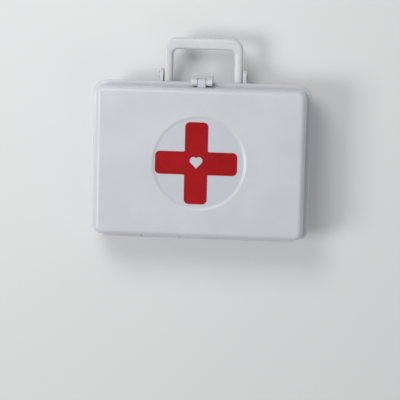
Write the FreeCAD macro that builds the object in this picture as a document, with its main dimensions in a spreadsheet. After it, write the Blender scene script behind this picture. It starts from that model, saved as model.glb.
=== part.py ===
import FreeCAD, Part
import math
import os
import re

import Sketcher

doc = FreeCAD.newDocument("toy_case")

# Every size that can be set, in millimetres or degrees.
# X runs along the case, Y towards the handle, Z up out of the lid's face.
sizes = {
    "case_width": 120,
    "case_height": 87,
    "corner_radius": 7,
    "base_depth": 18,
    "lid_depth": 12,
    "wall": 1.8,
    "lean_angle": 2.5,
    "rim_width": 2.2,
    "rim_thickness": 1.8,
    "rim_bevel": 0.6,
    "edge_round": 3,
    "merge": 0.4,
    "least_corner": 0.5,
    "least_gap": 0.1,
    "overrun": 2,
    "tongue_height": 2,
    "tongue_thickness": 1.1,
    "tongue_gap": 0.35,
    "tongue_root": 3,
    "knuckle_radius": 1.9,
    "knuckle_gap": 0.3,
    "hinge_span": 106,
    "pin_slack": 0.05,
    "hinge_pin_radius": 0.8,
    "hinge_pin_inset": 0.3,
    "dish_radius": 26,
    "dish_depth": 0.6,
    "dish_slope": 1.6,
    "label_span": 45,
    "label_arm": 12.6,
    "label_round": 2.6,
    "label_thickness": 0.2,
    "label_shift": -1.6,
    "heart_half": 2.9,
    "handle_reach": 24,
    "handle_thickness": 6,
    "grip_half_width": 21.6,
    "grip_height": 6.3,
    "leg_width": 4.7,
    "heel_length": 4.2,
    "handle_corner": 6.5,
    "window_corner": 3,
    "handle_round": 1.6,
    "window_bevel": 1.2,
    "pivot_out": 3.5,
    "stop_gap": 0.2,
    "ear_thickness": 2,
    "ear_gap": 0.3,
    "handle_pin_radius": 1,
    "pin_head_radius": 1.9,
    "pin_head_height": 0.8,
    "pin_head_bevel": 0.4,
    "latch_out": 0.2,
    "latch_rise": 4.6,
    "latch_width": 11.6,
    "latch_eye": 1.9,
    "latch_pin_radius": 0.8,
    "latch_plate": 1.5,
    "rim_to_plate": 0.5,
    "hook_gap": 0.3,
    "hook_reach": 1.2,
    "hook_height": 1.4,
    "pull_reach": 1.2,
    "pull_height": 1.3,
    "latch_round": 0.5,
    "lug_width": 4.4,
    "lug_gap": 0.3,
    "latch_release": 14,
}

# Sizes worked out from the ones above.
derived = {
    "wall_width": "case_width - 2 * rim_width",
    "wall_height": "case_height - 2 * rim_width",
    "wall_corner": "corner_radius - rim_width",
    "base_lean": "base_depth * tan(lean_angle * 1 deg)",
    "lid_lean": "lid_depth * tan(lean_angle * 1 deg)",
    "lid_top": "base_depth + lid_depth",
    "rim_under": "base_depth - rim_thickness",
    "dish_floor": "lid_top - dish_depth",
    "hinge_y": "knuckle_radius - case_height / 2",
    "hinge_start": "-hinge_span / 2",
    "relief_radius": "knuckle_radius + knuckle_gap",
    "hinge_bore": "hinge_pin_radius + pin_slack",
    "pivot_y": "case_height / 2 + pivot_out",
    "pivot_z": "rim_under - stop_gap - handle_thickness / 2",
    "ear_radius": "handle_thickness / 2 + stop_gap + merge / 2",
    "ear_start": "grip_half_width + ear_gap",
    "ear_end": "ear_start + ear_thickness",
    "heel_y": "pivot_y - heel_length",
    "window_half": "grip_half_width - leg_width",
    "handle_bore": "handle_pin_radius + pin_slack",
    "grip_top": "case_height / 2 + handle_reach",
    "window_top": "grip_top - grip_height",
    "latch_y": "case_height / 2 + latch_out",
    "latch_z": "base_depth + latch_rise",
    "latch_bore": "latch_pin_radius + pin_slack",
    "plate_inner": "rim_to_plate - latch_out",
    "plate_outer": "plate_inner + latch_plate",
    "hook_top": "-(latch_rise + rim_thickness + hook_gap)",
    "hook_bottom": "hook_top - hook_height",
    "hook_tip": "-(latch_out + hook_reach)",
    "pull_tip": "plate_outer + pull_reach",
    "slot_half": "lug_width / 2 + lug_gap",
    "tongue_outside": "wall + tongue_gap",
    "tongue_inside": "tongue_outside + tongue_thickness",
}

base_knuckles = 3
same_place = 0.0001
lid_knuckles = base_knuckles - 1
all_knuckles = base_knuckles + lid_knuckles

names = set(sizes) | set(derived) | {"knuckle_length", "knuckle_pitch"}
sheet = doc.addObject("Spreadsheet::Sheet", "Sizes")


def bound(formula):
    return re.sub(r"[a-z_]+", lambda word: f"Sizes.{word[0]}" if word[0] in names else word[0], formula)


def enter(row, name, text):
    sheet.set(f"A{row}", name)
    sheet.set(f"B{row}", text)
    sheet.setAlias(f"B{row}", name)


derived["knuckle_length"] = f"(hinge_span - {all_knuckles - 1} * knuckle_gap) / {all_knuckles}"
derived["knuckle_pitch"] = "knuckle_length + knuckle_gap"
for row, (name, number) in enumerate(sizes.items(), 1):
    enter(row, name, str(number))
doc.recompute()
for row, (name, formula) in enumerate(derived.items(), len(sizes) + 1):
    enter(row, name, "=" + formula)
doc.recompute()


def value(formula):
    result = sheet.evalExpression(bound(formula))
    return getattr(result, "Value", result)


def new_body(label):
    body = doc.addObject("PartDesign::Body", label)
    body.Label = label
    return body


def datum(body, role):
    return next(feature for feature in body.Origin.OriginFeatures if feature.Role == role)


def new_sketch(body, name, role, lift="0"):
    sketch = body.newObject("Sketcher::SketchObject", name)
    sketch.AttachmentSupport = (datum(body, role), "")
    sketch.MapMode = "FlatFace"
    sketch.setExpression("AttachmentOffset.Base.z", bound(lift))
    return sketch


def tie(sketch, kind, places, formula):
    number = sketch.addConstraint(Sketcher.Constraint(kind, *places, value(formula)))
    sketch.renameConstraint(number, f"size_{number}")
    sketch.setExpression(f"Constraints.size_{number}", bound(formula))


def tie_point(sketch, curve, end, x, y):
    tie(sketch, "DistanceX", (-1, 1, curve, end), x)
    tie(sketch, "DistanceY", (-1, 1, curve, end), y)


def draw_polygon(sketch, corners):
    points = [FreeCAD.Vector(value(x), value(y), 0) for x, y in corners]
    count = len(points)
    lines = []
    for index in range(count):
        line = Part.LineSegment(points[index], points[(index + 1) % count])
        lines.append(sketch.addGeometry(line))
    for index in range(count):
        following = lines[(index + 1) % count]
        sketch.addConstraint(Sketcher.Constraint("Coincident", lines[index], 2, following, 1))
    for line, (x, y) in zip(lines, corners):
        tie_point(sketch, line, 1, x, y)


def draw_circle(sketch, x, y, radius):
    centre = FreeCAD.Vector(value(x), value(y), 0)
    circle = sketch.addGeometry(Part.Circle(centre, FreeCAD.Vector(0, 0, 1), value(radius)))
    tie_point(sketch, circle, 3, x, y)
    tie(sketch, "Radius", (circle,), radius)


def draw_rounded(sketch, width, height, radius):
    half_x = value(width) / 2
    half_y = value(height) / 2
    bend = value(radius)
    flat_x = half_x - bend
    flat_y = half_y - bend
    spans = [
        (flat_x, half_y, -flat_x, half_y),
        (-half_x, flat_y, -half_x, -flat_y),
        (-flat_x, -half_y, flat_x, -half_y),
        (half_x, -flat_y, half_x, flat_y),
    ]
    centres = [(-flat_x, flat_y), (-flat_x, -flat_y), (flat_x, -flat_y), (flat_x, flat_y)]
    lines = []
    arcs = []
    for x_from, y_from, x_to, y_to in spans:
        line = Part.LineSegment(FreeCAD.Vector(x_from, y_from, 0), FreeCAD.Vector(x_to, y_to, 0))
        lines.append(sketch.addGeometry(line))
    for turn, (x, y) in enumerate(centres, 1):
        circle = Part.Circle(FreeCAD.Vector(x, y, 0), FreeCAD.Vector(0, 0, 1), bend)
        arc = Part.ArcOfCircle(circle, turn * math.pi / 2, (turn + 1) * math.pi / 2)
        arcs.append(sketch.addGeometry(arc))
    for index, (line, arc) in enumerate(zip(lines, arcs)):
        sketch.addConstraint(Sketcher.Constraint("Tangent", line, 2, arc, 1))
        sketch.addConstraint(Sketcher.Constraint("Tangent", arc, 2, lines[(index + 1) % 4], 1))
    for line in lines[0::2]:
        sketch.addConstraint(Sketcher.Constraint("Horizontal", line))
    for line in lines[1::2]:
        sketch.addConstraint(Sketcher.Constraint("Vertical", line))
    for arc in arcs[1:]:
        sketch.addConstraint(Sketcher.Constraint("Equal", arcs[0], arc))
    sketch.addConstraint(Sketcher.Constraint("Symmetric", lines[1], 1, lines[3], 1, -1, 1))
    tie(sketch, "Radius", (arcs[0],), radius)
    tie(sketch, "DistanceX", (lines[1], 1, lines[3], 2), width)
    tie(sketch, "DistanceY", (lines[2], 1, lines[0], 2), height)


def draw_slot(sketch, x_from, x_to, y, radius):
    # A bar from x_from that ends in a half round about x_to.
    left = value(x_from)
    right = value(x_to)
    level = value(y)
    bend = value(radius)
    top_left = FreeCAD.Vector(left, level + bend, 0)
    low_left = FreeCAD.Vector(left, level - bend, 0)
    low_right = FreeCAD.Vector(right, level - bend, 0)
    top_right = FreeCAD.Vector(right, level + bend, 0)
    end = Part.Circle(FreeCAD.Vector(right, level, 0), FreeCAD.Vector(0, 0, 1), bend)
    top = sketch.addGeometry(Part.LineSegment(top_right, top_left))
    back = sketch.addGeometry(Part.LineSegment(top_left, low_left))
    low = sketch.addGeometry(Part.LineSegment(low_left, low_right))
    arc = sketch.addGeometry(Part.ArcOfCircle(end, -math.pi / 2, math.pi / 2))
    sketch.addConstraint(Sketcher.Constraint("Coincident", top, 2, back, 1))
    sketch.addConstraint(Sketcher.Constraint("Coincident", back, 2, low, 1))
    sketch.addConstraint(Sketcher.Constraint("Tangent", low, 2, arc, 1))
    sketch.addConstraint(Sketcher.Constraint("Tangent", arc, 2, top, 1))
    sketch.addConstraint(Sketcher.Constraint("Horizontal", top))
    sketch.addConstraint(Sketcher.Constraint("Vertical", back))
    tie_point(sketch, arc, 3, x_to, y)
    tie(sketch, "Radius", (arc,), radius)
    tie(sketch, "DistanceX", (-1, 1, back, 1), x_from)


def extrude(body, kind, sketch, name, length, symmetric=False, flip=False):
    feature = body.newObject("PartDesign::" + kind, name)
    feature.Profile = sketch
    if symmetric:
        feature.SideType = "Symmetric"
    feature.Reversed = flip
    feature.setExpression("Length", bound(length))
    sketch.Visibility = False
    doc.recompute()
    return feature


def spin(body, kind, sketch, name):
    feature = body.newObject("PartDesign::" + kind, name)
    feature.Profile = sketch
    feature.ReferenceAxis = (sketch, ["V_Axis"])
    doc.recompute()
    return feature


def edges_where(feature, test):
    return [f"Edge{number}" for number, edge in enumerate(feature.Shape.Edges, 1) if test(edge.BoundBox)]


def soften(body, kind, base, name, edges, amount):
    feature = body.newObject("PartDesign::" + kind, name)
    feature.Base = (base, edges)
    feature.setExpression("Radius" if kind == "Fillet" else "Size", bound(amount))
    doc.recompute()
    return feature


def round_edges(body, base, name, edges, radius):
    return soften(body, "Fillet", base, name, edges, radius)


def bevel_edges(body, base, name, edges, amount):
    return soften(body, "Chamfer", base, name, edges, amount)


def mirrored(places):
    return [("-" + x, y) for x, y in reversed(places)]


def near(first, second):
    return abs(first - second) < same_place


def level_edges(feature, formula):
    height = value(formula)
    return edges_where(feature, lambda box: near(box.ZMin, height) and near(box.ZMax, height))


def upright_edges(feature, places):
    spots = [(value(x), value(y)) for x, y in places]
    return edges_where(
        feature,
        lambda box: box.ZLength > same_place
        and any(near(box.Center.x, x) and near(box.Center.y, y) for x, y in spots),
    )


def draw_wall(sketch, inset):
    # The wall's outline at the seam, moved in by an inset.
    bend = f"max(wall_corner - {inset}; least_corner)"
    draw_rounded(sketch, f"wall_width - 2 * ({inset})", f"wall_height - 2 * ({inset})", bend)


def wall_ring(body, name, lift, length, outside, inside):
    sketch = new_sketch(body, name + "_lines", "XY_Plane", lift)
    draw_wall(sketch, outside)
    draw_wall(sketch, inside)
    return extrude(body, "Pad", sketch, name, length)


def level_face(feature, formula):
    height = value(formula)
    return next(
        f"Face{number}"
        for number, face in enumerate(feature.Shape.Faces, 1)
        if near(face.BoundBox.ZMin, height) and near(face.BoundBox.ZMax, height)
    )


def tray(body, name, bottom, depth, seam, closed, lean):
    # A block on the seam's outline, its sides leaning in, hollowed from the seam, its far edge round.
    sketch = new_sketch(body, name + "_lines", "XY_Plane", bottom)
    draw_wall(sketch, "0")
    block = extrude(body, "Pad", sketch, name + "_block", depth)
    sides = [
        f"Face{number}"
        for number, face in enumerate(block.Shape.Faces, 1)
        if face.BoundBox.ZLength > same_place
    ]
    leaning = body.newObject("PartDesign::Draft", name + "_lean")
    leaning.Base = (block, sides)
    leaning.NeutralPlane = (block, [level_face(block, seam)])
    leaning.Reversed = seam != bottom
    leaning.setExpression("Angle", bound("lean_angle"))
    doc.recompute()
    hollow = body.newObject("PartDesign::Thickness", name + "_hollow")
    hollow.Base = (leaning, [level_face(leaning, seam)])
    hollow.Reversed = True
    hollow.setExpression("Value", bound("wall"))
    doc.recompute()
    far_round = f"min(edge_round; wall_corner - {lean} - least_corner)"
    return round_edges(body, hollow, name + "_edge", level_edges(hollow, closed), far_round)


def rod(body, kind, name, start, length, x, y, radius, symmetric=False):
    # A round bar or hole along X, from a start or to both sides of the middle.
    sketch = new_sketch(body, name + "_lines", "YZ_Plane", start)
    draw_circle(sketch, x, y, radius)
    return extrude(body, kind, sketch, name, length, symmetric, kind == "Pocket" and not symmetric)


def hinge_side(body, own, other):
    # Own knuckles go on, room for the other shell's knuckles comes off, then the pin's hole.
    for place in own:
        start = f"hinge_start + {place} * knuckle_pitch"
        rod(body, "Pad", f"knuckle_{place}", start, "knuckle_length", "hinge_y", "base_depth", "knuckle_radius")
    for place in other:
        start = f"hinge_start + {place} * knuckle_pitch - knuckle_gap"
        length = "knuckle_length + 2 * knuckle_gap"
        rod(body, "Pocket", f"relief_{place}", start, length, "hinge_y", "base_depth", "relief_radius")
    rod(body, "Pocket", "hinge_hole", "0", "hinge_span", "hinge_y", "base_depth", "hinge_bore", True)


base_places = range(0, all_knuckles, 2)
lid_places = range(1, all_knuckles, 2)

# Base shell: a leaning tray with a rim, a tongue that centres the lid, knuckles and two pairs of ears.
base = new_body("base_shell")
tray(base, "base", "0", "base_depth", "base_depth", "0", "base_lean")
rim_lines = new_sketch(base, "rim_lines", "XY_Plane", "rim_under")
draw_rounded(rim_lines, "case_width", "case_height", "corner_radius")
draw_wall(rim_lines, "wall / 2")
rim = extrude(base, "Pad", rim_lines, "rim", "rim_thickness")
rim_reach_x = value("wall_width / 2 + rim_width / 2")
rim_reach_y = value("wall_height / 2 + rim_width / 2")
rim_edges = edges_where(
    rim,
    lambda box: box.ZLength < same_place
    and (max(-box.XMin, box.XMax) > rim_reach_x or max(-box.YMin, box.YMax) > rim_reach_y),
)
rim = bevel_edges(base, rim, "rim_edge", rim_edges, "min(rim_bevel; rim_thickness / 2 - least_gap)")
hinge_clear = new_sketch(base, "hinge_clear_lines", "XY_Plane", "rim_under - overrun")
draw_polygon(
    hinge_clear,
    [
        ("-case_width", "-case_height"),
        ("case_width", "-case_height"),
        ("case_width", "-wall_height / 2"),
        ("-case_width", "-wall_height / 2"),
    ],
)
extrude(base, "Pocket", hinge_clear, "hinge_clear", "rim_thickness + 2 * overrun", flip=True)
wall_ring(base, "tongue_foot", "base_depth - tongue_root", "tongue_root", "wall - merge", "tongue_inside")
wall_ring(base, "tongue", "base_depth - merge", "tongue_height + merge", "tongue_outside", "tongue_inside")
hinge_side(base, base_places, lid_places)
for name, start in {"ear_right": "ear_start", "ear_left": "-ear_end"}.items():
    ear_lines = new_sketch(base, name + "_lines", "YZ_Plane", start)
    draw_slot(ear_lines, "wall_height / 2 - base_lean - merge", "pivot_y", "pivot_z", "ear_radius")
    extrude(base, "Pad", ear_lines, name, "ear_thickness")
rod(base, "Pocket", "ear_holes", "0", "2 * (ear_end + overrun)", "pivot_y", "pivot_z", "handle_bore", True)

# Lid shell: a shallower cover with a round dish for the label, knuckles and a lug for the latch.
lid = new_body("lid_shell")
tray(lid, "lid", "base_depth", "lid_depth", "base_depth", "lid_top", "lid_lean")
swell_lines = new_sketch(lid, "swell_lines", "XZ_Plane")
draw_polygon(
    swell_lines,
    [
        ("0", "dish_floor - wall"),
        ("dish_radius", "dish_floor - wall"),
        ("dish_radius + dish_slope", "lid_top - wall"),
        ("dish_radius + dish_slope", "lid_top - wall + merge"),
        ("0", "lid_top - wall + merge"),
    ],
)
spin(lid, "Revolution", swell_lines, "swell")
dish_lines = new_sketch(lid, "dish_lines", "XZ_Plane")
draw_polygon(
    dish_lines,
    [
        ("0", "dish_floor"),
        ("dish_radius - dish_slope", "dish_floor"),
        ("dish_radius", "lid_top"),
        ("dish_radius", "lid_top + overrun"),
        ("0", "lid_top + overrun"),
    ],
)
spin(lid, "Groove", dish_lines, "dish")
hinge_side(lid, lid_places, base_places)
lug_lines = new_sketch(lid, "lug_lines", "YZ_Plane")
draw_slot(lug_lines, "wall_height / 2 - lid_lean - merge", "latch_y", "latch_z", "latch_eye")
extrude(lid, "Pad", lug_lines, "lug", "lug_width", True)
rod(lid, "Pocket", "lug_hole", "0", "lug_width + overrun", "latch_y", "latch_z", "latch_bore", True)

# Carry handle: an arch whose feet pass under the rim, which stops it level with the case.
handle = new_body("carry_handle")
arch_lines = new_sketch(handle, "arch_lines", "XY_Plane", "pivot_z")
outer_side = [("grip_half_width", "heel_y"), ("grip_half_width", "grip_top")]
inner_side = [("window_half", "window_top"), ("window_half", "heel_y")]
draw_polygon(arch_lines, outer_side + mirrored(outer_side) + mirrored(inner_side) + inner_side)
arch = extrude(handle, "Pad", arch_lines, "arch", "handle_thickness", True)
for name, spots, radius in (
    ("arch_corners", outer_side[1:], "handle_corner"),
    ("window_corners", inner_side[:1], "window_corner"),
):
    arch = round_edges(handle, arch, name, upright_edges(arch, spots + mirrored(spots)), radius)
heel_level = value("heel_y")
window_reach = value("window_half") + same_place
window_level = value("window_top") + same_place


def in_window(box):
    return max(-box.XMin, box.XMax) < window_reach and box.YMax < window_level


def flat_and_long(box):
    return box.ZLength < same_place and not near(box.YMax, heel_level)


outer_edges = edges_where(arch, lambda box: flat_and_long(box) and not in_window(box))
most_round = "handle_thickness / 2 - least_gap; leg_width / 2 - least_gap"
arch = round_edges(handle, arch, "arch_edges", outer_edges, f"min(handle_round; {most_round})")
inner_edges = edges_where(arch, lambda box: flat_and_long(box) and in_window(box))
bevel_edges(handle, arch, "window_edges", inner_edges, f"min(window_bevel; {most_round})")
handle_hole_length = "2 * (grip_half_width + overrun)"
rod(handle, "Pocket", "foot_holes", "0", handle_hole_length, "pivot_y", "pivot_z", "handle_bore", True)

# Latch: drawn about its own pin, then turned until its hook stands clear of the rim.
latch = new_body("latch_clasp")
clasp_lines = new_sketch(latch, "clasp_lines", "YZ_Plane")
draw_polygon(
    clasp_lines,
    [
        ("plate_outer", "0"),
        ("plate_inner", "0"),
        ("plate_inner", "hook_top"),
        ("hook_tip", "hook_top"),
        ("hook_tip", "hook_bottom"),
        ("pull_tip", "hook_bottom"),
        ("pull_tip", "hook_bottom + pull_height"),
        ("plate_outer", "hook_bottom + pull_height + pull_reach"),
    ],
)
clasp = extrude(latch, "Pad", clasp_lines, "clasp", "latch_width", True)
pull_place = value("pull_tip")
pull_edges = edges_where(clasp, lambda box: near(box.YMin, pull_place) and near(box.YMax, pull_place))
round_edges(latch, clasp, "pull_edge", pull_edges, "latch_round")
rod(latch, "Pad", "eye", "0", "latch_width", "0", "0", "latch_eye", True)
slot_lines = new_sketch(latch, "slot_lines", "XZ_Plane")
draw_polygon(
    slot_lines,
    [
        ("-slot_half", "-(latch_eye + lug_gap)"),
        ("slot_half", "-(latch_eye + lug_gap)"),
        ("slot_half", "latch_eye + overrun"),
        ("-slot_half", "latch_eye + overrun"),
    ],
)
extrude(latch, "Pocket", slot_lines, "lug_slot", "2 * (pull_tip + overrun)", True)
rod(latch, "Pocket", "eye_hole", "0", "latch_width + overrun", "0", "0", "latch_bore", True)
latch.Placement = FreeCAD.Placement(
    FreeCAD.Vector(0, 0, 0), FreeCAD.Rotation(FreeCAD.Vector(1, 0, 0), value("latch_release"))
)
latch.setExpression("Placement.Base.y", bound("latch_y"))
latch.setExpression("Placement.Base.z", bound("latch_z"))
latch.setExpression("Placement.Rotation.Angle", bound("latch_release"))

# Pins: two wires end to end in the hinge, one through the latch, one headed pin in each foot.
hinge_pin_length = "hinge_span / 2 - 2 * hinge_pin_inset"
for label, start in {
    "hinge_pin_left": "hinge_start + hinge_pin_inset",
    "hinge_pin_right": "hinge_pin_inset",
}.items():
    pin = new_body(label)
    rod(pin, "Pad", label + "_wire", start, hinge_pin_length, "hinge_y", "base_depth", "hinge_pin_radius")
latch_pin = new_body("latch_pin")
rod(latch_pin, "Pad", "latch_wire", "0", "latch_width", "latch_y", "latch_z", "latch_pin_radius", True)
shank_length = "ear_end - window_half"
for label, start, head_start, head_face in (
    ("handle_pin_left", "-ear_end", "-ear_end - pin_head_height", "-ear_end - pin_head_height"),
    ("handle_pin_right", "window_half", "ear_end", "ear_end + pin_head_height"),
):
    pin = new_body(label)
    rod(pin, "Pad", label + "_shank", start, shank_length, "pivot_y", "pivot_z", "handle_pin_radius")
    head = rod(pin, "Pad", label + "_head", head_start, "pin_head_height", "pivot_y", "pivot_z", "pin_head_radius")
    face_place = value(head_face)
    head_edges = edges_where(head, lambda box: near(box.XMin, face_place) and near(box.XMax, face_place))
    bevel_edges(pin, head, label + "_bevel", head_edges, "min(pin_head_bevel; pin_head_height - least_gap)")

# Label: a rounded plus with a heart left open in its middle.
label_body = new_body("front_label")
plus_lines = new_sketch(label_body, "plus_lines", "XY_Plane")
arm = "label_arm / 2"
tip = "label_span / 2"
quarter = [(arm, "-" + tip), (arm, "-" + arm), (tip, "-" + arm)]
corners = []
for turn in range(4):
    corners += quarter
    quarter = [(("-" + y).replace("--", ""), x) for x, y in quarter]
draw_polygon(plus_lines, corners)
plus = extrude(label_body, "Pad", plus_lines, "plus", "label_thickness")
ends = [spot for spot in corners if tip in (spot[0].strip("-"), spot[1].strip("-"))]
plus = round_edges(label_body, plus, "plus_ends", upright_edges(plus, ends), "label_round")
heart_lines = new_sketch(label_body, "heart_lines", "XY_Plane")
lobe = value("heart_half / 2")
lobe_radius = value("heart_half / sqrt(2)")
point = value("heart_half")
up = FreeCAD.Vector(0, 0, 1)
right_circle = Part.Circle(FreeCAD.Vector(lobe, lobe, 0), up, lobe_radius)
left_circle = Part.Circle(FreeCAD.Vector(-lobe, lobe, 0), up, lobe_radius)
right_side = heart_lines.addGeometry(Part.LineSegment(FreeCAD.Vector(0, -point, 0), FreeCAD.Vector(point, 0, 0)))
right_lobe = heart_lines.addGeometry(Part.ArcOfCircle(right_circle, -math.pi / 4, math.pi * 3 / 4))
left_lobe = heart_lines.addGeometry(Part.ArcOfCircle(left_circle, math.pi / 4, math.pi * 5 / 4))
left_side = heart_lines.addGeometry(Part.LineSegment(FreeCAD.Vector(-point, 0, 0), FreeCAD.Vector(0, -point, 0)))
heart_lines.addConstraint(Sketcher.Constraint("Tangent", right_side, 2, right_lobe, 1))
heart_lines.addConstraint(Sketcher.Constraint("Coincident", right_lobe, 2, left_lobe, 1))
heart_lines.addConstraint(Sketcher.Constraint("Tangent", left_lobe, 2, left_side, 1))
heart_lines.addConstraint(Sketcher.Constraint("Coincident", left_side, 2, right_side, 1))
tie_point(heart_lines, right_lobe, 3, "heart_half / 2", "heart_half / 2")
tie_point(heart_lines, left_lobe, 3, "-heart_half / 2", "heart_half / 2")
tie_point(heart_lines, right_side, 1, "0", "-heart_half")
extrude(label_body, "Pocket", heart_lines, "heart", "label_thickness + overrun", flip=True)
label_body.setExpression("Placement.Base.x", bound("label_shift"))
label_body.setExpression("Placement.Base.z", bound("dish_floor"))

doc.recompute()
os.makedirs("parts", exist_ok=True)
for item in doc.Objects:
    faults = {"Invalid", "Error"} & set(item.State)
    if faults:
        raise RuntimeError(f"{item.Label} is {faults}")
for body in doc.findObjects("PartDesign::Body"):
    shape = body.Shape
    if shape.isNull() or not shape.isValid() or len(shape.Solids) != 1:
        raise RuntimeError(f"{body.Label} is not one sound solid")
    shape.exportStep(f"parts/{body.Label}.step")
    print(body.Label, round(shape.Volume), "mm3")
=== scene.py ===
import math

import bmesh
import bpy
from mathutils import Matrix, Vector


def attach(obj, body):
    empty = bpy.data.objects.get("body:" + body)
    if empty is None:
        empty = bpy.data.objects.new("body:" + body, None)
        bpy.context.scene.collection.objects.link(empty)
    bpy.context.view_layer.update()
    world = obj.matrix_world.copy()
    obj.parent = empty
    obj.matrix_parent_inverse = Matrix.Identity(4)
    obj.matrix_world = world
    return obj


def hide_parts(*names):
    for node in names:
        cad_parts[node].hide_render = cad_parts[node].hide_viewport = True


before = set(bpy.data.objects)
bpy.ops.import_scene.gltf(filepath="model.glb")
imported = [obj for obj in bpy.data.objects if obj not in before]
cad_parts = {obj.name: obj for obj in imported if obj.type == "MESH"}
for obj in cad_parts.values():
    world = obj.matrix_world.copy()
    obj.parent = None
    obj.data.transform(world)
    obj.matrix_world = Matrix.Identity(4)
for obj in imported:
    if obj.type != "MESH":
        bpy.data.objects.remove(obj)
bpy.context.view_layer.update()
print("frame loaded:", sorted(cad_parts))

mm = 0.001


# Helpers for node trees.

def newMaterial(name):
    material = bpy.data.materials.new(name)
    material.use_nodes = True
    tree = material.node_tree
    shader = tree.nodes["Principled BSDF"]
    coords = tree.nodes.new("ShaderNodeTexCoord")
    return material, tree, shader, coords.outputs["Object"]


def noiseTexture(tree, vector, scale, detail=3.0, roughness=0.5, stretch=None, turn=(0, 0, 0)):
    if stretch:
        mapping = tree.nodes.new("ShaderNodeMapping")
        mapping.vector_type = "TEXTURE"  # turns first, then stretches
        mapping.inputs["Scale"].default_value = stretch
        mapping.inputs["Rotation"].default_value = turn
        tree.links.new(vector, mapping.inputs["Vector"])
        vector = mapping.outputs["Vector"]
    noise = tree.nodes.new("ShaderNodeTexNoise")
    noise.inputs["Scale"].default_value = scale
    noise.inputs["Detail"].default_value = detail
    noise.inputs["Roughness"].default_value = roughness
    tree.links.new(vector, noise.inputs["Vector"])
    return noise.outputs["Fac"]


def remap(tree, value, fromLow, fromHigh, toLow, toHigh):
    node = tree.nodes.new("ShaderNodeMapRange")
    names = ("From Min", "From Max", "To Min", "To Max")
    for name, number in zip(names, (fromLow, fromHigh, toLow, toHigh)):
        node.inputs[name].default_value = number
    tree.links.new(value, node.inputs["Value"])
    return node.outputs["Result"]


def mathNode(tree, operation, first, second):
    node = tree.nodes.new("ShaderNodeMath")
    node.operation = operation
    for socket, value in zip(node.inputs, (first, second)):
        if isinstance(value, (int, float)):
            socket.default_value = value
        else:
            tree.links.new(value, socket)
    return node.outputs["Value"]


def mixColour(tree, factor, first, second):
    node = tree.nodes.new("ShaderNodeMix")
    node.data_type = "RGBA"
    tree.links.new(factor, node.inputs["Factor"])
    colourSockets = [socket for socket in node.inputs if socket.type == "RGBA"]
    for socket, value in zip(colourSockets, (first, second)):
        if isinstance(value, tuple):
            socket.default_value = (*value, 1)
        else:
            tree.links.new(value, socket)
    return next(socket for socket in node.outputs if socket.type == "RGBA")


def weightedSum(tree, first, firstShare, second, secondShare):
    return mathNode(tree, "ADD", mathNode(tree, "MULTIPLY", first, firstShare),
                    mathNode(tree, "MULTIPLY", second, secondShare))


def bumpNode(tree, height, strength, distance, normal=None):
    bump = tree.nodes.new("ShaderNodeBump")
    bump.inputs["Strength"].default_value = strength
    bump.inputs["Distance"].default_value = distance
    tree.links.new(height, bump.inputs["Height"])
    if normal is not None:
        tree.links.new(normal, bump.inputs["Normal"])
    return bump.outputs["Normal"]


scratchLook = dict(detail=2, roughness=0.5, stretch=(1, 28, 1), fade=0.05)
shaderSamples = 6


def fineScratches(tree, coords, turn, scale, threshold):
    streaks = noiseTexture(tree, coords, scale, scratchLook["detail"], scratchLook["roughness"],
                           scratchLook["stretch"], (0, 0, turn))
    return remap(tree, streaks, threshold, threshold + scratchLook["fade"], 0, 1)


def softEdges(tree, radius):
    bevel = tree.nodes.new("ShaderNodeBevel")
    bevel.samples = shaderSamples
    bevel.inputs["Radius"].default_value = radius
    return bevel.outputs["Normal"]


# Moulded white plastic of the two shells, and of handle and latch.

plasticLooks = {
    # The third colour of each look is painted shade for corners and creases.
    "caseWhite": dict(tone=(0.655, 0.680, 0.712), shade=(0.600, 0.632, 0.672), paintedCornerShade=(0.43, 0.43, 0.42),
                      roughLow=0.30, roughHigh=0.46, milk=0.10, edge=0.00025, dishPaintedShade=(0.592, 0.612, 0.662)),
    "handleWhite": dict(tone=(0.690, 0.700, 0.708), shade=(0.640, 0.655, 0.668), paintedCornerShade=(0.46, 0.45, 0.43),
                        roughLow=0.26, roughHigh=0.42, milk=0.08, edge=0.00022),
}
plasticNoise = dict(
    clouds=(38, 4, 0.55),  # slow tone drift of the moulding
    grain=(1500, 2, 0.6),  # fine pigment grain
    # The next noise breaks up the painted corner shade.
    shadeBreakup=(160, 3, 0.6),
    smears=(55, 3, 0.6, (1, 2.5, 1), (0, 0, 0.5)),
    peel=(420, 2, 0.5),  # orange peel of the mould
    spark=(3200, 1, 0.5),
    swell=(30, 2, 0.4),  # shallow waves where the wall has sunk
)
plasticScratches = ((0.35, 900, 0.66), (-0.9, 1200, 0.68))
# The reach, clear, full and most settings size the painted corner shade.
plasticMix = dict(cloudShare=0.8, grainShare=0.2, toneLow=0.36, toneHigh=0.66, shadeReach=2.2 * mm, shadeClear=0.75,
                  shadeFull=0.25, shadeMost=0.55, smearLow=0.3, smearHigh=0.7, scratchRough=0.10, peelShare=0.75,
                  sparkShare=0.25, scratchDepth=0.35)
plasticBump = dict(waveStrength=0.35, waveDepth=0.0011, reliefStrength=0.16, reliefDepth=0.00006)
plasticBody = dict(ior=1.49, milkRadius=(1.0, 0.95, 0.9), milkScale=1.2 * mm)
# The dish mask bounds the painted shade in the dish recess.
dishMask = dict(inner=24.0 * mm, outer=26.2 * mm, under=29.0 * mm, over=29.3 * mm)


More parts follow.
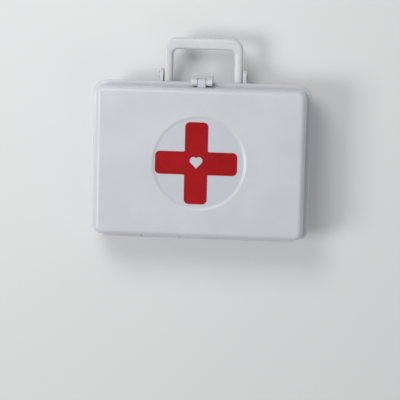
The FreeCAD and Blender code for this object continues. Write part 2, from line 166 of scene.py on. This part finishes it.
def insideDish(tree, coords):
    flat = tree.nodes.new("ShaderNodeVectorMath")
    flat.operation = "MULTIPLY"
    flat.inputs[1].default_value = (1, 1, 0)
    tree.links.new(coords, flat.inputs[0])
    reach = tree.nodes.new("ShaderNodeVectorMath")
    reach.operation = "LENGTH"
    tree.links.new(flat.outputs["Vector"], reach.inputs[0])
    parts = tree.nodes.new("ShaderNodeSeparateXYZ")
    tree.links.new(coords, parts.inputs["Vector"])
    near = remap(tree, reach.outputs["Value"], dishMask["inner"], dishMask["outer"], 1, 0)
    high = remap(tree, parts.outputs["Z"], dishMask["under"], dishMask["over"], 0, 1)
    return mathNode(tree, "MULTIPLY", near, high)


def plasticMaterial(name, look):
    material, tree, shader, coords = newMaterial(name)
    noise = {key: noiseTexture(tree, coords, *settings) for key, settings in plasticNoise.items()}
    mix = plasticMix
    drift = weightedSum(tree, noise["clouds"], mix["cloudShare"], noise["grain"], mix["grainShare"])
    tone = mixColour(tree, remap(tree, drift, mix["toneLow"], mix["toneHigh"], 0, 1), look["tone"], look["shade"])
    # painted shade: the plastic inside the dish recess is tinted darker
    if "dishPaintedShade" in look:
        tone = mixColour(tree, insideDish(tree, coords), tone, look["dishPaintedShade"])
    hollow = tree.nodes.new("ShaderNodeAmbientOcclusion")  # painted shade: the plastic is darkened in corners and creases by ambient occlusion, broken up by noise
    hollow.samples = shaderSamples
    hollow.inputs["Distance"].default_value = mix["shadeReach"]
    corners = remap(tree, hollow.outputs["AO"], mix["shadeClear"], mix["shadeFull"], 0, mix["shadeMost"])
    colour = mixColour(tree, mathNode(tree, "MULTIPLY", corners, noise["shadeBreakup"]), tone, look["paintedCornerShade"])
    tree.links.new(colour, shader.inputs["Base Color"])
    scratches = mathNode(tree, "MAXIMUM", *(fineScratches(tree, coords, *settings) for settings in plasticScratches))
    smeared = remap(tree, noise["smears"], mix["smearLow"], mix["smearHigh"], look["roughLow"], look["roughHigh"])
    scuffed = mathNode(tree, "MULTIPLY", scratches, mix["scratchRough"])
    tree.links.new(mathNode(tree, "ADD", smeared, scuffed), shader.inputs["Roughness"])
    texture = weightedSum(tree, noise["peel"], mix["peelShare"], noise["spark"], mix["sparkShare"])
    relief = mathNode(tree, "SUBTRACT", texture, mathNode(tree, "MULTIPLY", scratches, mix["scratchDepth"]))
    edges = softEdges(tree, look["edge"])
    waves = bumpNode(tree, noise["swell"], plasticBump["waveStrength"], plasticBump["waveDepth"], edges)
    normal = bumpNode(tree, relief, plasticBump["reliefStrength"], plasticBump["reliefDepth"], waves)
    tree.links.new(normal, shader.inputs["Normal"])
    shader.inputs["IOR"].default_value = plasticBody["ior"]
    shader.inputs["Subsurface Weight"].default_value = look["milk"]
    shader.inputs["Subsurface Radius"].default_value = plasticBody["milkRadius"]
    shader.inputs["Subsurface Scale"].default_value = plasticBody["milkScale"]
    return material


caseWhite = plasticMaterial("caseWhite", plasticLooks["caseWhite"])
handleWhite = plasticMaterial("handleWhite", plasticLooks["handleWhite"])
print("white plastics made")


# Red film of the label.

filmLook = dict(red=(0.400, 0.0042, 0.0075), deepRed=(0.335, 0.0034, 0.0062), worn=(0.46, 0.030, 0.036),
                roughLow=0.32, roughHigh=0.48, gloss=0.22, ior=1.47)
filmNoise = dict(drift=(90, 4, 0.6), dots=(4200, 1, 0.5), smear=(120, 3, 0.6), ripple=(260, 2, 0.5))
filmScuffs = (0.7, 800, 0.68)
filmMix = dict(driftLow=0.35, driftHigh=0.68, fleckLow=0.66, fleckHigh=0.74, fleckMost=0.5, fleckShare=0.4,
               scuffShare=0.35, smearLow=0.3, smearHigh=0.7)
filmBump = dict(rippleStrength=0.35, rippleDepth=0.00010, dotStrength=0.12, dotDepth=0.00003)


def filmMaterial(look):
    material, tree, shader, coords = newMaterial("redFilm")
    noise = {key: noiseTexture(tree, coords, *settings) for key, settings in filmNoise.items()}
    mix = filmMix
    drift = remap(tree, noise["drift"], mix["driftLow"], mix["driftHigh"], 0, 1)
    body = mixColour(tree, drift, look["red"], look["deepRed"])
    flecks = remap(tree, noise["dots"], mix["fleckLow"], mix["fleckHigh"], 0, mix["fleckMost"])
    scuffs = fineScratches(tree, coords, *filmScuffs)
    wear = mathNode(tree, "MAXIMUM", mathNode(tree, "MULTIPLY", flecks, mix["fleckShare"]),
                    mathNode(tree, "MULTIPLY", scuffs, mix["scuffShare"]))
    tree.links.new(mixColour(tree, wear, body, look["worn"]), shader.inputs["Base Color"])
    smeared = remap(tree, noise["smear"], mix["smearLow"], mix["smearHigh"], look["roughLow"], look["roughHigh"])
    tree.links.new(smeared, shader.inputs["Roughness"])
    ripples = bumpNode(tree, noise["ripple"], filmBump["rippleStrength"], filmBump["rippleDepth"])
    normal = bumpNode(tree, noise["dots"], filmBump["dotStrength"], filmBump["dotDepth"], ripples)
    tree.links.new(normal, shader.inputs["Normal"])
    shader.inputs["IOR"].default_value = look["ior"]
    shader.inputs["Specular IOR Level"].default_value = look["gloss"]
    return material


redFilm = filmMaterial(filmLook)


# Drawn steel of the pins.

wireLook = dict(bright=(0.62, 0.62, 0.63), dull=(0.42, 0.42, 0.43), roughLow=0.22, roughHigh=0.40,
                lines=(2600, 2, 0.5, (20, 1, 1)), lineLow=0.3, lineHigh=0.7, bump=0.25, depth=0.00003)


def wireMaterial(look):
    material, tree, shader, coords = newMaterial("pinSteel")
    lines = noiseTexture(tree, coords, *look["lines"])
    tree.links.new(mixColour(tree, lines, look["bright"], look["dull"]), shader.inputs["Base Color"])
    rough = remap(tree, lines, look["lineLow"], look["lineHigh"], look["roughLow"], look["roughHigh"])
    tree.links.new(rough, shader.inputs["Roughness"])
    tree.links.new(bumpNode(tree, lines, look["bump"], look["depth"]), shader.inputs["Normal"])
    shader.inputs["Metallic"].default_value = 1.0
    return material


pinSteel = wireMaterial(wireLook)
print("film and steel made")


# Rigid pieces: a merged, smooth-shaded copy stands for each solid.

rigidPieces = {
    "base_shell": ("baseTray", "base", "white_plastic", caseWhite),
    "lid_shell": ("lidCover", "lid", "white_plastic", caseWhite),
    "carry_handle": ("carryHandle", "handle", "handle_plastic", handleWhite),
    "latch_clasp": ("latchClasp", "latch", "handle_plastic", handleWhite),
    "hinge_pin_left": ("hingePinLeft", "base", "pin_wire", pinSteel),
    "hinge_pin_right": ("hingePinRight", "base", "pin_wire", pinSteel),
    "latch_pin": ("latchPin", "lid", "pin_wire", pinSteel),
    "handle_pin_left": ("handlePinLeft", "base", "pin_wire", pinSteel),
    "handle_pin_right": ("handlePinRight", "base", "pin_wire", pinSteel),
}
smoothing = dict(mergeDistance=2e-6, sharpAngle=math.radians(50), lidAngle=math.radians(18), facesDown=-0.999,
                 flatWeight=100)


def link(name, mesh, material):
    piece = bpy.data.objects.new(name, mesh)
    bpy.context.scene.collection.objects.link(piece)
    mesh.materials.clear()
    mesh.materials.append(material)
    return piece


def plainMesh(piece):
    graph = bpy.context.evaluated_depsgraph_get()
    mesh = bpy.data.meshes.new_from_object(piece.evaluated_get(graph))
    piece.modifiers.clear()
    piece.data = mesh
    return mesh


def keepFlats(piece):
    weighted = piece.modifiers.new("flatFaces", "WEIGHTED_NORMAL")
    weighted.keep_sharp = True
    weighted.weight = smoothing["flatWeight"]
    plainMesh(piece)


def smoothCopy(node, name, material):
    mesh = bpy.data.meshes.new(name)
    work = bmesh.new()
    work.from_mesh(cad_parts[node].data)
    bmesh.ops.remove_doubles(work, verts=work.verts, dist=smoothing["mergeDistance"])
    work.normal_update()
    isLid = node == "lid_shell"
    for face in work.faces:
        face.smooth = not isLid or face.normal.z > smoothing["facesDown"]  # the lid's ceiling stays flat
    work.to_mesh(mesh)
    work.free()
    if "custom_normal" in mesh.attributes:  # carried over from the loose triangles
        mesh.attributes.remove(mesh.attributes["custom_normal"])
    mesh.set_sharp_from_angle(angle=smoothing["lidAngle" if isLid else "sharpAngle"])
    piece = link(name, mesh, material)
    keepFlats(piece)
    return piece


for node, (name, body, slotName, material) in rigidPieces.items():
    piece = smoothCopy(node, name, material)
    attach(piece, body)
    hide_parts(node)
print("rigid pieces smoothed:", len(rigidPieces))


# Label: a film plus with round ends and a heart left open.

labelSizes = dict(span=45.0 * mm, arm=12.6 * mm, endRound=2.6 * mm, innerRound=0.7 * mm, shift=-1.6 * mm,
                  thickness=0.2 * mm, heart=2.9 * mm, edge=0.05 * mm, edgeSteps=2, steps=8, mergeDistance=1e-7)


def roundedOutline(corners, radii, steps):
    points = []
    count = len(corners)
    for index, (corner, radius) in enumerate(zip(corners, radii)):
        before = (corners[index - 1] - corner).normalized()
        after = (corners[(index + 1) % count] - corner).normalized()
        start = corner + before * radius
        end = corner + after * radius
        centre = corner + (before + after) * radius
        for step in range(steps + 1):
            share = step / steps * math.pi / 2
            points.append(centre + (start - centre) * math.cos(share) + (end - centre) * math.sin(share))
    return points


def heartOutline(half, steps):
    points = [Vector((0, -half))]
    for side, first, last in ((1, -45, 135), (-1, 45, 225)):
        lobe = Vector((side * half / 2, half / 2))
        for step in range(steps * 2 + 1):
            angle = math.radians(first + (last - first) * step / (steps * 2))
            points.append(lobe + Vector((math.cos(angle), math.sin(angle))) * half / math.sqrt(2))
    return points


def lowestPoint(node):
    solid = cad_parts[node]
    return min((solid.matrix_world @ vertex.co).z for vertex in solid.data.vertices)


def makeLabel(sizes, material):
    arm, tip = sizes["arm"] / 2, sizes["span"] / 2
    quarter = [Vector((arm, -tip)), Vector((arm, -arm)), Vector((tip, -arm))]
    corners, radii = [], []
    for turn in range(4):
        spin = Matrix.Rotation(turn * math.pi / 2, 2)
        corners += [spin @ corner for corner in quarter]
        radii += [sizes["endRound"], sizes["innerRound"], sizes["endRound"]]
    curve = bpy.data.curves.new("labelCurve", "CURVE")
    curve.dimensions = "2D"
    curve.fill_mode = "BOTH"
    curve.extrude = sizes["thickness"] / 2 - sizes["edge"]
    curve.bevel_depth = sizes["edge"]
    curve.bevel_resolution = sizes["edgeSteps"]
    curve.offset = -sizes["edge"]
    outline = roundedOutline(corners, radii, sizes["steps"])
    for points in (outline, heartOutline(sizes["heart"], sizes["steps"])):
        spline = curve.splines.new("POLY")
        spline.points.add(len(points) - 1)
        for target, point in zip(spline.points, points):
            target.co = (point.x, point.y, 0, 1)
        spline.use_cyclic_u = True
    drawn = bpy.data.objects.new("labelDrawn", curve)
    bpy.context.scene.collection.objects.link(drawn)
    bpy.context.view_layer.update()
    graph = bpy.context.evaluated_depsgraph_get()
    mesh = bpy.data.meshes.new_from_object(drawn.evaluated_get(graph))
    bpy.data.objects.remove(drawn)
    middle = lowestPoint("front_label") + sizes["thickness"] / 2
    mesh.transform(Matrix.Translation((sizes["shift"], 0, middle)))
    work = bmesh.new()
    work.from_mesh(mesh)
    bmesh.ops.remove_doubles(work, verts=work.verts, dist=sizes["mergeDistance"])
    bmesh.ops.recalc_face_normals(work, faces=work.faces)
    for face in work.faces:
        face.smooth = True
    work.to_mesh(mesh)
    work.free()
    mesh.set_sharp_from_angle(angle=smoothing["sharpAngle"])
    piece = link("frontLabel", mesh, material)
    keepFlats(piece)
    return piece


label = makeLabel(labelSizes, redFilm)
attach(label, "lid")
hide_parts("front_label")
print("label made:", len(label.data.polygons), "faces")


# Ejector marks: shallow rings that the mould's pins leave inside both shells.

markSizes = {
    "baseMarks": dict(body="base", level=1.8 * mm, spanX=86 * mm, spanY=54 * mm, countX=4, countY=3),
    "lidMarks": dict(body="lid", level=28.2 * mm, spanX=98 * mm, spanY=66 * mm, countX=2, countY=2),
}
markRing = dict(radius=2.6 * mm, width=0.22 * mm, height=0.08 * mm, around=36, across=6)


def addSocket(tree, name, kind):
    return tree.interface.new_socket(name, in_out="INPUT", socket_type=kind).identifier


def markTree():
    tree = bpy.data.node_groups.new("ejectorMarkTree", "GeometryNodeTree")
    ids = {
        "spanX": addSocket(tree, "spanX", "NodeSocketFloat"),
        "spanY": addSocket(tree, "spanY", "NodeSocketFloat"),
        "countX": addSocket(tree, "countX", "NodeSocketInt"),
        "countY": addSocket(tree, "countY", "NodeSocketInt"),
        "radius": addSocket(tree, "radius", "NodeSocketFloat"),
        "width": addSocket(tree, "width", "NodeSocketFloat"),
        "material": addSocket(tree, "material", "NodeSocketMaterial"),
    }
    tree.interface.new_socket("Geometry", in_out="OUTPUT", socket_type="NodeSocketGeometry")
    entry = tree.nodes.new("NodeGroupInput")
    exitNode = tree.nodes.new("NodeGroupOutput")
    grid = tree.nodes.new("GeometryNodeMeshGrid")
    circle = tree.nodes.new("GeometryNodeCurvePrimitiveCircle")
    profile = tree.nodes.new("GeometryNodeCurvePrimitiveCircle")
    sweep = tree.nodes.new("GeometryNodeCurveToMesh")
    instance = tree.nodes.new("GeometryNodeInstanceOnPoints")
    realize = tree.nodes.new("GeometryNodeRealizeInstances")
    paint = tree.nodes.new("GeometryNodeSetMaterial")
    circle.inputs["Resolution"].default_value = markRing["around"]
    profile.inputs["Resolution"].default_value = markRing["across"]
    for outName, node, inName in (
        ("spanX", grid, "Size X"),
        ("spanY", grid, "Size Y"),
        ("countX", grid, "Vertices X"),
        ("countY", grid, "Vertices Y"),
        ("radius", circle, "Radius"),
        ("width", profile, "Radius"),
        ("material", paint, "Material"),
    ):
        tree.links.new(entry.outputs[outName], node.inputs[inName])
    tree.links.new(circle.outputs["Curve"], sweep.inputs["Curve"])
    tree.links.new(profile.outputs["Curve"], sweep.inputs["Profile Curve"])
    tree.links.new(grid.outputs["Mesh"], instance.inputs["Points"])
    tree.links.new(sweep.outputs["Mesh"], instance.inputs["Instance"])
    tree.links.new(instance.outputs["Instances"], realize.inputs["Geometry"])
    tree.links.new(realize.outputs["Geometry"], paint.inputs["Geometry"])
    tree.links.new(paint.outputs["Geometry"], exitNode.inputs["Geometry"])
    return tree, ids


markGroup, markIds = markTree()
for name, sizes in markSizes.items():
    piece = link(name, bpy.data.meshes.new(name), caseWhite)
    modifier = piece.modifiers.new("marks", "NODES")
    modifier.node_group = markGroup
    settings = {**sizes, **markRing, "material": caseWhite}
    for key, identifier in markIds.items():
        modifier[identifier] = settings[key]
    mesh = plainMesh(piece)
    squeeze = Matrix.Diagonal((1, 1, markRing["height"] / markRing["width"], 1))
    mesh.transform(Matrix.Translation((0, 0, sizes["level"])) @ squeeze)
    for polygon in mesh.polygons:
        polygon.use_smooth = True
    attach(piece, sizes["body"])
print("ejector marks made")


# Floor, light and camera.

stageLook = dict(size=14.0, colour=(0.80, 0.80, 0.80), shade=(0.77, 0.775, 0.78), noise=(6, 2, 0.5), roughness=0.85)
floorMesh = bpy.data.meshes.new("paleFloor")
half = stageLook["size"] / 2
floorCorners = [(-half, -half, 0), (half, -half, 0), (half, half, 0), (-half, half, 0)]
floorMesh.from_pydata(floorCorners, [], [range(len(floorCorners))])
floorMaterial, floorTree, floorShader, floorCoords = newMaterial("paleFloor")
floorNoise = noiseTexture(floorTree, floorCoords, *stageLook["noise"])
floorTone = mixColour(floorTree, floorNoise, stageLook["colour"], stageLook["shade"])
floorTree.links.new(floorTone, floorShader.inputs["Base Color"])
floorShader.inputs["Roughness"].default_value = stageLook["roughness"]
floor = link("paleFloor", floorMesh, floorMaterial)

lampLook = {
    "keyLamp": dict(place=(-0.88, -0.16, 0.92), power=6.0, size=0.45, colour=(1.0, 0.99, 0.97)),
    "fillLamp": dict(place=(0.75, -0.65, 0.90), power=1.2, size=0.8, colour=(0.97, 0.985, 1.0)),
    "bandLamp": dict(place=(-0.14, 0.30, 0.42), power=0.95, size=0.22, colour=(1.0, 1.0, 1.0)),
}
worldLook = dict(strength=0.36, colour=(0.97, 0.98, 1.0), backdrop=(0.62, 0.625, 0.63))

for name, look in lampLook.items():
    lamp = bpy.data.lights.new(name, "AREA")
    lamp.energy = look["power"]
    lamp.size = look["size"]
    lamp.color = look["colour"]
    holder = bpy.data.objects.new(name, lamp)
    holder.location = look["place"]
    holder.rotation_euler = (-Vector(look["place"])).to_track_quat("-Z", "Y").to_euler()
    bpy.context.scene.collection.objects.link(holder)

world = bpy.data.worlds.new("studio")
bpy.context.scene.world = world
world.use_nodes = True
worldTree = world.node_tree
sky = worldTree.nodes["Background"]
sky.inputs["Color"].default_value = (*worldLook["colour"], 1)
sky.inputs["Strength"].default_value = worldLook["strength"]
backdrop = worldTree.nodes.new("ShaderNodeBackground")  # what the camera sees past the floor
backdrop.inputs["Color"].default_value = (*worldLook["backdrop"], 1)
rays = worldTree.nodes.new("ShaderNodeLightPath")
blend = worldTree.nodes.new("ShaderNodeMixShader")
worldTree.links.new(rays.outputs["Is Camera Ray"], blend.inputs[0])
worldTree.links.new(sky.outputs["Background"], blend.inputs[1])
worldTree.links.new(backdrop.outputs["Background"], blend.inputs[2])
worldTree.links.new(blend.outputs["Shader"], worldTree.nodes["World Output"].inputs["Surface"])

cameraLook = dict(target=(0.0, -0.022, 0.016), towards=(0.078, 0.135, 0.95), distance=0.97, frameWidth=0.222,
                  roll=1.4, sensor=36, nearest=0.05, farthest=40)
camera = bpy.data.cameras.new("photoCamera")
camera.sensor_width = cameraLook["sensor"]
camera.lens = cameraLook["sensor"] * cameraLook["distance"] / cameraLook["frameWidth"]
camera.clip_start = cameraLook["nearest"]
camera.clip_end = cameraLook["farthest"]
holder = bpy.data.objects.new("photoCamera", camera)
back = Vector(cameraLook["towards"]).normalized()
right = Vector((0, 1, 0)).cross(back).normalized()
up = back.cross(right)
turn = Matrix((right, up, back)).transposed().to_4x4()
place = Matrix.Translation(Vector(cameraLook["target"]) + back * cameraLook["distance"])
holder.matrix_world = place @ turn @ Matrix.Rotation(math.radians(cameraLook["roll"]), 4, "Z")
bpy.context.scene.collection.objects.link(holder)
bpy.context.scene.camera = holder
bpy.context.scene.view_settings.view_transform = "Standard"
print("stage, lamps and camera set")
